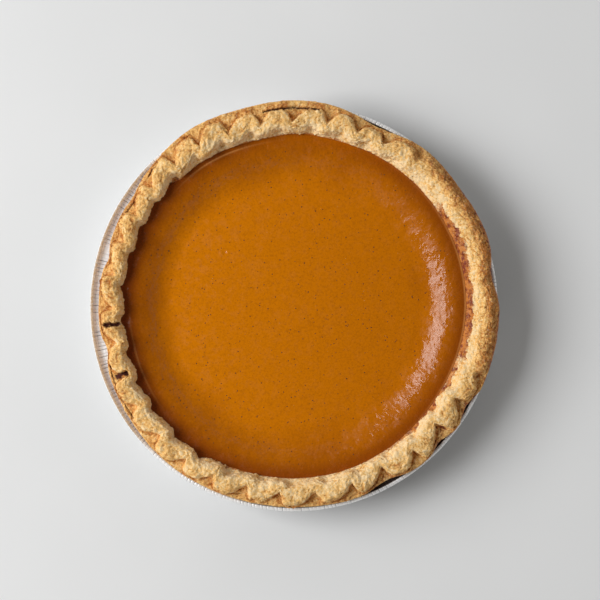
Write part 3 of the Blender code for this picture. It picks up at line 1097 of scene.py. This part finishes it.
@dataclass
class CustardFilling:
    """The set custard: sunk in the middle, highest near the pastry, with one small crater."""

    rim: RimForm = RimForm()
    columns: int = 620
    rings: int = 118
    ring_crowding: float = 1.25
    seed: int = 23
    centre_height: float = 26.0 * MM
    dome: float = 1.8 * MM
    edge_height: float = 31.2 * MM
    slope: Span = (0.735, 0.965)
    slope_ease: float = 0.42
    overlap: float = 0.25 * MM
    notch_side: Side = (190.0, 62.0, 14.0)
    notch_reach: float = 3.5 * MM
    bottom: float = 4.15 * MM
    floor_radius: float = 82.3 * MM
    bend: Span = (1.05 * MM, 28.0 * MM)
    unevenness: Span = (0.25 * MM, 40 * MM)
    unevenness_ramp: Span = (1.0, 0.125)
    crater: Span = (-39.2 * MM, 31.2 * MM)
    crater_radius: float = 2.2 * MM
    crater_lip: float = 0.14 * MM
    crater_lip_line: Span = (0.9, 1 / 3)
    crater_depth: float = 0.26 * MM
    crater_half_width: float = 1 / 1.9
    browned_share: float = 0.65
    # painted shade: more darkening on the side where the pastry's shadow falls, less near 84 degrees where the
    # edge is lit
    browned_and_painted_shade_by_side: Stretches = ((190.0, 60.0, 0.35), (84.0, 22.0, -0.75))
    browned_ramp: Span = (0.89, 0.11)
    film_lines: tuple[FilmLine, ...] = (
        FilmLine(116.0, 12.0, 1.0, 0.972, 0.004), FilmLine(200.0, 14.0, 0.5, 0.972, 0.004),
        FilmLine(2.0, 34.0, 0.9, 0.993, 0.005),
    )

    def surface_height(self, points: Array, share: Array, noise: GradientNoise) -> Array:
        """Shape the top.

        Args:
            points: places on the top, whose heights are not read.
            share: each place's share of the way from the middle to the pastry.
            noise: makes the top uneven.

        Returns:
            The height of each place.
        """
        start, end = self.slope
        way = np.clip((share - start) / (end - start), 0.0, 1.0)
        near_end = np.minimum(way, 1 - way)
        ramp = near_end**2 / (2 * self.slope_ease)
        eased = np.where(near_end < self.slope_ease, ramp, near_end - self.slope_ease / 2)
        rise = eased / (1 - self.slope_ease)
        height = mix(self.centre_height, self.edge_height, np.where(way < 0.5, rise, 1 - rise))
        height = height + self.dome * np.clip(1 - (share / start) ** 2, 0.0, 1.0)
        uneven, size = self.unevenness
        flat = points * np.array([1.0, 1.0, 0.0])
        height = height + uneven * noise.fractal(flat, size) * falls(share, *self.unevenness_ramp)
        away = np.hypot(points[..., 0] - self.crater[0], points[..., 1] - self.crater[1]) / self.crater_radius
        lip = self.crater_lip * thin_line(away, *self.crater_lip_line)
        return height + lip - self.crater_depth * thin_line(away, 0.0, self.crater_half_width)

    def build(self, finish: Finish) -> Piece:
        """Build the filling.

        Args:
            finish: dresses it.

        Returns:
            The finished piece, whose top ring is the one nearest its middle.
        """
        angle = np.arange(self.columns) * 360.0 / self.columns
        reach = self.rim.well_radius(angle) + self.overlap
        outermost = reach + self.notch_reach * one_side(angle, *self.notch_side)
        steps = np.linspace(1.0, 0.0, self.rings, endpoint=False) ** self.ring_crowding
        steps = np.sqrt(steps)[:, None]
        share = steps * outermost / reach
        top = at(angle[None, :], outermost[None, :] * steps, 0.0)
        top[..., 2] = self.surface_height(top, share, GradientNoise(self.seed))
        inset, height = self.bend
        sides = [at(angle, self.floor_radius, self.bottom), at(angle, reach - inset, height)]
        rings = np.concatenate([np.array(sides), top])
        mesh = grid_mesh("pumpkin_filling_skin", rings, self.bottom, float(top[-1, :, 2].mean()))
        below = np.zeros((len(sides), self.columns))
        store(mesh, "reach", np.concatenate([below + 1.0, share]))
        store(mesh, "film", np.concatenate([below, self.film(angle, share)]))
        store(mesh, "browned_and_painted_shade", np.concatenate([below, self.browned_and_painted_shade(angle, share)]))
        mesh.materials.append(finish.material())
        piece = show("pumpkin_filling_set", mesh)
        hand_over(piece, "custard", "pumpkin_filling")
        return piece

    def browned_and_painted_shade(self, angle: Array, share: Array) -> Array:
        """Return where the custard has browned against the pastry, with painted shade added most on the side
        where the pastry's shadow falls, from 0 to 1.
        """
        return (self.browned_share + along_rim(self.browned_and_painted_shade_by_side, angle)) * rises(share, *self.browned_ramp)

    def film(self, angle: Array, share: Array) -> Array:
        """Find where thin pale lines run just inside the pastry.

        Args:
            angle: each column's angle.
            share: each point's share of the way from the middle to the pastry.

        Returns:
            0 for plain custard to 1 on a line, one for each point.
        """
        lines = []
        for line in self.film_lines:
            arc = line.strength * bump(angle, line.angle, line.half_width)
            lines.append(arc * thin_line(share, line.share, line.thickness))
        return np.max(lines, axis=0)


class GeometryBench(NodeBench):
    """A bench that lays a Geometry Nodes tree with named inputs, and runs it."""

    def __init__(self, name: str, inputs: dict[str, float]) -> None:
        """Start a tree.

        Args:
            name: the tree's name.
            inputs: the named inputs and their values. A whole number makes a whole-number input.
        """
        super().__init__(bpy.data.node_groups.new(name, "GeometryNodeTree"))
        self.values = inputs
        for side in ("INPUT", "OUTPUT"):
            self.tree.interface.new_socket("Geometry", in_out=side, socket_type="NodeSocketGeometry")
        for key, value in inputs.items():
            kind = "NodeSocketInt" if isinstance(value, int) else "NodeSocketFloat"
            self.tree.interface.new_socket(key, in_out="INPUT", socket_type=kind).default_value = value
        self.given = self.add("NodeGroupInput").outputs

    def stored(self, name: str) -> Socket:
        """Return the number that a geometry keeps on its points under this name."""
        return self.add("GeometryNodeInputNamedAttribute", {"Name": name}, data_type="FLOAT").outputs[0]

    def parts(self, vector: Socket) -> bpy.types.NodeOutputs:
        """Return the sockets X, Y and Z of a vector."""
        return self.add("ShaderNodeSeparateXYZ", {0: vector}).outputs

    def vector(self, operation: str, sockets: dict) -> Socket:
        """Return the result of a Vector Math node."""
        return self.add("ShaderNodeVectorMath", sockets, operation=operation).outputs[0]

    def chance(self, draw: Socket, low: float, high: float) -> Socket:
        """Return a random number between low and high that goes with the number draw."""
        noise = self.add("ShaderNodeTexWhiteNoise", {"W": draw}, noise_dimensions="1D").outputs[0]
        return self.spread(noise, 0.0, 1.0, (low, high))

    def point_chance(self, low: float, high: float, seed: int) -> Socket:
        """Return a random number between low and high for each point."""
        sockets = {2: low, 3: high, "Seed": seed}
        return self.add("FunctionNodeRandomValue", sockets, data_type="FLOAT").outputs[1]

    def close(self, geometry: Socket, material: bpy.types.Material) -> None:
        """End the tree in real, dressed geometry.

        Args:
            geometry: what the tree has made.
            material: what dresses it.
        """
        real = self.add("GeometryNodeRealizeInstances", {"Geometry": geometry}).outputs[0]
        dressed = self.add("GeometryNodeSetMaterial", {"Geometry": real, "Material": material}).outputs[0]
        self.add("NodeGroupOutput", {"Geometry": dressed})

    def run(self, piece: Piece, name: str) -> bpy.types.Mesh:
        """Run the tree on a piece once.

        Args:
            piece: the object that the tree starts from, which keeps no modifier.
            name: the name of the mesh that it makes.

        Returns:
            The result as a plain mesh.
        """
        modifier = piece.modifiers.new(self.tree.name, "NODES")
        modifier.node_group = self.tree
        sockets = self.tree.interface.items_tree
        identifiers = {socket.name: socket.identifier for socket in sockets if socket.in_out == "INPUT"}
        for key, value in self.values.items():
            modifier[identifiers[key]] = value
        mesh = bpy.data.meshes.new_from_object(piece.evaluated_get(bpy.context.evaluated_depsgraph_get()))
        piece.modifiers.remove(modifier)
        mesh.name = name
        mesh.shade_smooth()
        return mesh


@dataclass
class FoilTin:
    """The foil tin: a flat base, a fluted wall, a creased flange and a rolled bead."""

    pleats: int = 330
    columns_a_pleat: int = 10
    seed: int = 5
    draws_a_seed: float = 1000.0
    foil: float = 0.3 * MM
    base_radius: float = 88.0 * MM
    base_corner: float = 0.8 * MM
    mouth_radius: float = 103.5 * MM
    mouth_corner: float = 0.8 * MM
    flange_height: float = 29.2 * MM
    flange_end: float = 0.95
    bead_radius: float = 1.5 * MM
    bead_turn: float = 125.0
    bead_creasing: float = 0.85
    tin_radius: float = 115.0 * MM
    bead_lift: float = -0.1 * MM
    pleat_depth: float = 0.35 * MM
    pleat_shift: float = 0.02
    flute_strength: Span = (0.6, 1.0)
    flute_ends: Span = (0.3, 0.35)
    flute_rise: float = 3.0
    crease_depth: float = 0.30 * MM
    groove_place: Span = (0.36, 0.64)
    groove_half_width: float = 0.11
    groove_strength: Span = (0.45, 1.25)
    # where a reflection of the crust is painted on the bead: its side and its ramps across the bead
    painted_reflection_side: Side = (178.0, 52.0, 14.0)
    painted_reflection_inner_ramp: Span = (112.9 * MM, 0.3 * MM)
    painted_reflection_outer_ramp: Span = (114.7 * MM, 0.4 * MM)
    painted_reflection_height_ramp: Span = (29.2 * MM, 0.5 * MM)
    # where the crust's shadow is painted on the flange, round the rim
    painted_shadow_stretches: Stretches = (
        (64.5, 14.0, 1.8), (272.0, 18.0, 1.0), (298.0, 11.0, 1.8), (317.5, 10.0, 1.8), (330.0, 11.0, 1.8),
        (9.0, 11.0, 1.8),
    )
    painted_shadow_ramp: Span = (113.1 * MM, 0.4 * MM)

    def section(self) -> list[tuple[float, float, float, float]]:
        """Draw the tin's closed section.

        Returns:
            Points from the underside's middle to the inside's middle, as radius, height, share of the wall's
            fluting and share of the flange's creases.
        """
        bead_middle = self.tin_radius - self.bead_radius
        bead_height = self.flange_height + self.bead_lift
        outer, inner = [], []
        for share in np.linspace(0, 1, 4):
            radius = mix(self.base_radius, self.mouth_radius, share)
            height = mix(self.base_corner, self.flange_height, share)
            foot, mouth = self.flute_ends
            fluting = float(min(1.0, foot + self.flute_rise * share, mouth + self.flute_rise * (1 - share)))
            outer.append((radius + self.foil, height, fluting, 0.0))
            if share in (0.0, 1.0):
                inner.append((radius, height + self.foil, fluting, 0.0))
        flange_end = bead_middle - self.flange_end * self.bead_radius
        flange = np.linspace(self.mouth_radius + self.mouth_corner, flange_end, 4)
        below = [(radius, self.flange_height, 0.0, 1.0) for radius in flange]
        above = [(radius, self.flange_height + self.foil, 0.0, 1.0) for radius in flange[::-1]]
        roll = []
        for turn in np.radians(np.linspace(-self.bead_turn, self.bead_turn, 12)):
            radius = bead_middle + self.bead_radius * math.cos(turn)
            roll.append((radius, bead_height + self.bead_radius * math.sin(turn), 0.0, self.bead_creasing))
        corner = self.base_radius - self.base_corner
        start, end = (corner, 0.0, 0.0, 0.0), (corner, self.foil, 0.0, 0.0)
        return [start, *outer, *below, *roll, *above, *inner[::-1], end]

    def turned(self) -> bpy.types.Mesh:
        """Turn the section round the axis.

        Returns:
            The smooth tin, with its fluting and creasing, its painted reflection of the crust and its painted
            shadow of the crust marked on its vertices.
        """
        section = self.section()
        columns = self.pleats * self.columns_a_pleat
        angle = np.arange(columns) * 360.0 / columns
        rings = np.array([at(angle, radius, height) for radius, height, _, _ in section])
        mesh = grid_mesh("foil_tin_turned", rings, 0.0, self.foil)
        for index, name in ((2, "fluting"), (3, "creasing")):
            store(mesh, name, np.repeat([point[index] for point in section], columns))
        radius = np.hypot(rings[..., 0], rings[..., 1])
        store(mesh, "painted_reflection", self.painted_reflection(angle, radius, rings[..., 2]))
        store(mesh, "painted_shadow", self.painted_shadow(angle, radius))
        return mesh

    def painted_reflection(self, angle: Array, radius: Array, height: Array) -> Array:
        """Return where a reflection of the crust is painted on the bead's top, on the side of the key light,
        from 0 to 1.
        """
        band = rises(radius, *self.painted_reflection_inner_ramp) * falls(radius, *self.painted_reflection_outer_ramp)
        return one_side(angle, *self.painted_reflection_side) * band * rises(height, *self.painted_reflection_height_ramp)

    def painted_shadow(self, angle: Array, radius: Array) -> Array:
        """Return where a shadow of the crust is painted on the flange beside it, from 0 to 1."""
        return np.clip(along_rim(self.painted_shadow_stretches, angle), 0.0, 1.0) * falls(radius, *self.painted_shadow_ramp)

    def pleating(self, finish: Finish) -> GeometryBench:
        """Lay the tree that folds the foil: flutes in the wall, and a groove a pleat in the flange and bead.

        Args:
            finish: dresses the foil.

        Returns:
            The bench of a tree with the inputs Pleats, Depth, Crease and Seed.
        """
        depths = {"Depth": self.pleat_depth, "Crease": self.crease_depth}
        bench = GeometryBench("foil_pleats", {"Pleats": self.pleats, **depths, "Seed": self.seed})
        given = bench.given
        place = bench.add("GeometryNodeInputPosition").outputs[0]
        parts = bench.parts(place)
        turn = bench.math("DIVIDE", bench.math("ARCTAN2", parts["Y"], parts["X"]), 2 * math.pi)
        count = bench.plus(bench.times(turn, given["Pleats"]), self.pleat_shift)
        number = bench.math("FLOOR", count)
        within = bench.math("SUBTRACT", count, number)
        draw = bench.plus(number, bench.times(given["Seed"], self.draws_a_seed))
        centre = bench.chance(bench.plus(draw, 0.5), *self.groove_place)
        away = bench.math("DIVIDE", bench.math("SUBTRACT", within, centre), self.groove_half_width)
        groove = bench.math("EXPONENT", bench.times(away, away, -1.0))
        groove = bench.times(groove, bench.chance(draw, *self.groove_strength))
        flute = bench.math("COSINE", bench.times(within, 2 * math.pi))
        flute = bench.times(flute, bench.chance(draw, *self.flute_strength))
        wall = bench.times(flute, given["Depth"], bench.stored("fluting"))
        crease = bench.times(groove, given["Crease"], bench.stored("creasing"), -1.0)
        level = bench.vector("MULTIPLY", {0: place, 1: (1.0, 1.0, 0.0)})
        outwards = bench.vector("SCALE", {0: bench.vector("NORMALIZE", {0: level}), "Scale": wall})
        sunk = bench.add("ShaderNodeCombineXYZ", {"Z": crease}).outputs[0]
        # the grooves are kept for the foil's material, which paints shade along them
        marks = {"Name": "groove", "Value": bench.times(groove, bench.stored("creasing"))}
        marked = bench.add("GeometryNodeStoreNamedAttribute", {"Geometry": given["Geometry"], **marks})
        folds = {"Geometry": marked.outputs[0], "Offset": bench.vector("ADD", {0: outwards, 1: sunk})}
        bench.close(bench.add("GeometryNodeSetPosition", folds).outputs[0], finish.material())
        return bench

    def build(self, finish: Finish) -> Piece:
        """Build the tin.

        Args:
            finish: dresses it.

        Returns:
            The finished piece.
        """
        blank = show("foil_tin_blank", self.turned())
        mesh = self.pleating(finish).run(blank, "foil_tin_pleated")
        bpy.data.objects.remove(blank)
        piece = show("foil_tin_pleated", mesh)
        hand_over(piece, "foil", "foil_tin")
        return piece


class Fleck(Enum):
    """What is scattered on the custard: name, how many a square metre, and its size and flatness."""

    SPICE = ("spice_specks", 38000.0, 0.50 * MM, 0.35)
    BUBBLE = ("air_bubbles", 5200.0, 0.28 * MM, 0.45)


@dataclass
class Scatter:
    """Specks strewn over the custard's top by a seeded rule."""

    kind: Fleck
    seed: int
    reach: float = 0.93
    facing_up: float = 0.5
    smallest: float = 0.25
    narrowness: float = 0.75

    def strewing(self, finish: Finish) -> GeometryBench:
        """Lay the tree that strews the specks.

        Args:
            finish: dresses the specks.

        Returns:
            The bench of a tree with the inputs Density, Size and Seed.
        """
        name, density, size, flatness = self.kind.value
        bench = GeometryBench(name + "_scatter", {"Density": density, "Size": size, "Seed": self.seed})
        given = bench.given
        facing = bench.parts(bench.add("GeometryNodeInputNormal").outputs[0])["Z"]
        upwards = bench.math("GREATER_THAN", facing, self.facing_up)
        chosen = bench.times(upwards, bench.math("LESS_THAN", bench.stored("reach"), self.reach))
        where = {"Mesh": given["Geometry"], "Density": given["Density"], "Seed": given["Seed"]}
        spots = bench.add("GeometryNodeDistributePointsOnFaces", {**where, "Selection": chosen})
        ball = bench.add("GeometryNodeMeshIcoSphere", {"Radius": 1.0, "Subdivisions": 1}).outputs[0]
        length = bench.times(bench.point_chance(self.smallest, 1.0, self.seed + 1), given["Size"])
        sizes = {"X": length, "Y": bench.times(length, self.narrowness), "Z": bench.times(length, flatness)}
        scale = bench.add("ShaderNodeCombineXYZ", sizes).outputs[0]
        turn = bench.point_chance(0.0, 2 * math.pi, self.seed + 2)
        spin = bench.add("ShaderNodeCombineXYZ", {"Z": turn}).outputs[0]
        specks = {"Points": spots.outputs["Points"], "Instance": ball, "Scale": scale, "Rotation": spin}
        bench.close(bench.add("GeometryNodeInstanceOnPoints", specks).outputs[0], finish.material())
        return bench

    def build(self, base: Piece, finish: Finish) -> Piece:
        """Strew the specks.

        Args:
            base: the custard that they lie in.
            finish: dresses them.

        Returns:
            The finished piece.
        """
        name = self.kind.value[0]
        piece = show(name, self.strewing(finish).run(base, name))
        hand_over(piece, "custard")
        return piece


@dataclass
class Studio:
    """The pale floor, the soft light from the left, and the camera straight above."""

    view_centre: Span = (3.5 * MM, 4.2 * MM)
    frame_width: float = 337.4 * MM
    rim_height: float = 31.5 * MM
    lens: float = 85.0
    sensor: float = 36.0
    key_azimuth: float = 172.5
    key_elevation: float = 43.0
    key_distance: float = 2.2
    key_size: float = 1.35
    key_power: float = 45.6
    fill_strength: float = 0.555
    fill_colour: Colour = (1.0, 0.975, 0.94)
    dark_overhead: Span = (0.56, 0.79)
    overhead_strength: float = 0.04
    floor_half: float = 1.5

    def camera(self) -> None:
        """Look straight down, so that the frame is as wide as the photograph's at the tin's bead."""
        data = bpy.data.cameras.new("camera")
        data.lens = self.lens
        data.sensor_width = self.sensor
        piece = show("camera", data)
        piece.location = (*self.view_centre, self.rim_height + self.frame_width * self.lens / self.sensor)
        bpy.context.scene.camera = piece

    def key_light(self) -> None:
        """Set the soft key light, which shines on the pie from the left."""
        data = bpy.data.lights.new("key", "AREA")
        data.shape = "SQUARE"
        data.size = self.key_size
        data.energy = self.key_power
        turn, rise = math.radians(self.key_azimuth), math.radians(self.key_elevation)
        towards = Vector((math.cos(turn) * math.cos(rise), math.sin(turn) * math.cos(rise), math.sin(rise)))
        piece = show("key", data)
        piece.location = towards * self.key_distance
        piece.rotation_euler = (-towards).to_track_quat("-Z", "Y").to_euler()

    def fill_light(self) -> None:
        """Set the even fill, which is dimmed overhead so that the custard doesn't mirror it."""
        world = bpy.data.worlds.new("room")
        world.use_nodes = True
        bench = NodeBench(world.node_tree)
        direction = bench.add("ShaderNodeTexCoord").outputs["Generated"]
        height = bench.add("ShaderNodeSeparateXYZ", {0: direction}).outputs["Z"]
        dimmed = bench.spread(height, *self.dark_overhead, (self.fill_strength, self.overhead_strength))
        background = world.node_tree.nodes["Background"].inputs
        bench.plug(background["Color"], (*self.fill_colour, 1.0))
        bench.plug(background["Strength"], dimmed)
        bpy.context.scene.world = world

    def floor(self) -> None:
        """Lay the plain pale floor."""
        half = self.floor_half
        corners = [(-half, -half, 0), (half, -half, 0), (half, half, 0), (-half, half, 0)]
        mesh = bpy.data.meshes.new("floor")
        mesh.from_pydata(corners, [], [(0, 1, 2, 3)])
        mesh.materials.append(PALE_FLOOR.material())
        show("floor", mesh)

    def build(self) -> None:
        """Set up the whole studio."""
        self.floor()
        self.key_light()
        self.fill_light()
        self.camera()
        bpy.context.scene.view_settings.view_transform = "Standard"


def main() -> None:
    """Build the studio and every piece."""
    logging.basicConfig(level=logging.INFO, format="%(message)s")
    Studio().build()
    FoilTin().build(BrightFoil())
    PastryCase().build(BakedPastry())
    custard = CustardFilling().build(SetCustard())
    Scatter(Fleck.SPICE, seed=7).build(custard, GROUND_SPICE)
    Scatter(Fleck.BUBBLE, seed=19).build(custard, PAINTED_BUBBLE_GLINTS)


if __name__ == "__main__":
    main()
